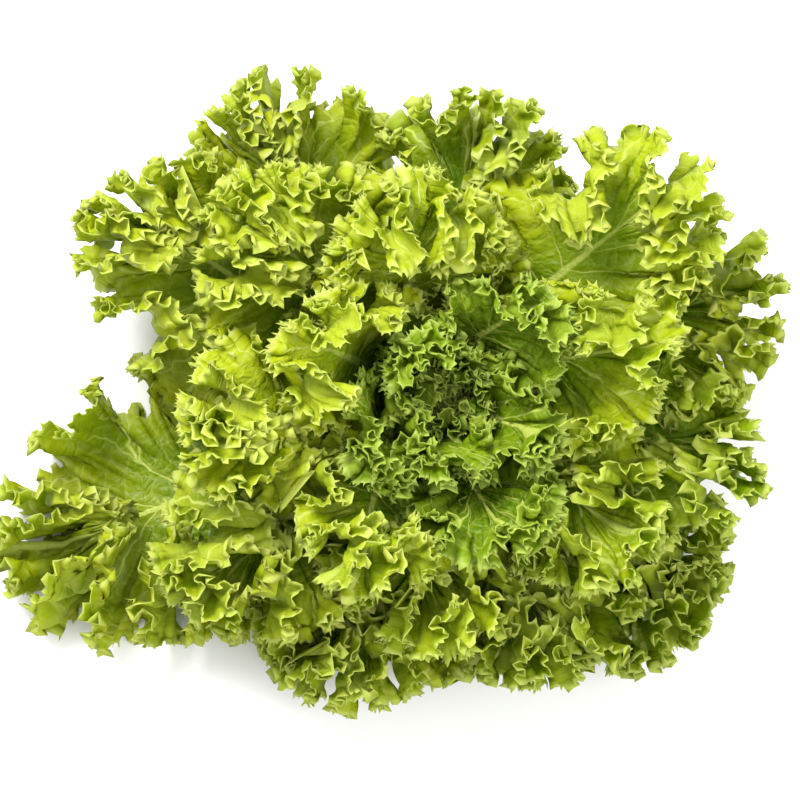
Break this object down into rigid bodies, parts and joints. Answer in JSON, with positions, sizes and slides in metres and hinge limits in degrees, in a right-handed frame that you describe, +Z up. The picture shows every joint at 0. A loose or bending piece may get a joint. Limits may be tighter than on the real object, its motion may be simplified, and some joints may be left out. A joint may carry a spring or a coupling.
{
  "type": "curly leaf lettuce head",
  "caption": "Loose head of green curly leaf lettuce with deeply frilled leaves nested around a short cut stem, standing on the cut.",
  "frame": {"origin": "centre of the stem's cut face, on the surface that the head stands on", "axes": "+Z up out of the cut along the stem, -Y towards the viewer of the picture, +X to that viewer's right"},
  "size_m": [0.2872, 0.2443, 0.1161],
  "materials": {
    "outer_leaf": "satin",
    "inner_leaf": "satin",
    "heart_leaf": "satin",
    "stem": "satin"
  },
  "bodies": {
    "root": {"outer_leaf_01": "outer_leaf", "outer_leaf_02": "outer_leaf", "outer_leaf_03": "outer_leaf", "outer_leaf_04": "outer_leaf", "outer_leaf_05": "outer_leaf", "outer_leaf_06": "outer_leaf", "outer_leaf_07": "outer_leaf", "outer_leaf_08": "outer_leaf", "outer_leaf_09": "outer_leaf", "inner_leaf_01": "inner_leaf", "inner_leaf_02": "inner_leaf", "inner_leaf_03": "inner_leaf", "inner_leaf_04": "inner_leaf", "inner_leaf_05": "inner_leaf", "inner_leaf_06": "inner_leaf", "inner_leaf_07": "inner_leaf", "inner_leaf_08": "inner_leaf", "inner_leaf_09": "inner_leaf", "inner_leaf_10": "inner_leaf", "heart": "heart_leaf", "stem": "stem"}
  },
  "joints": []
}
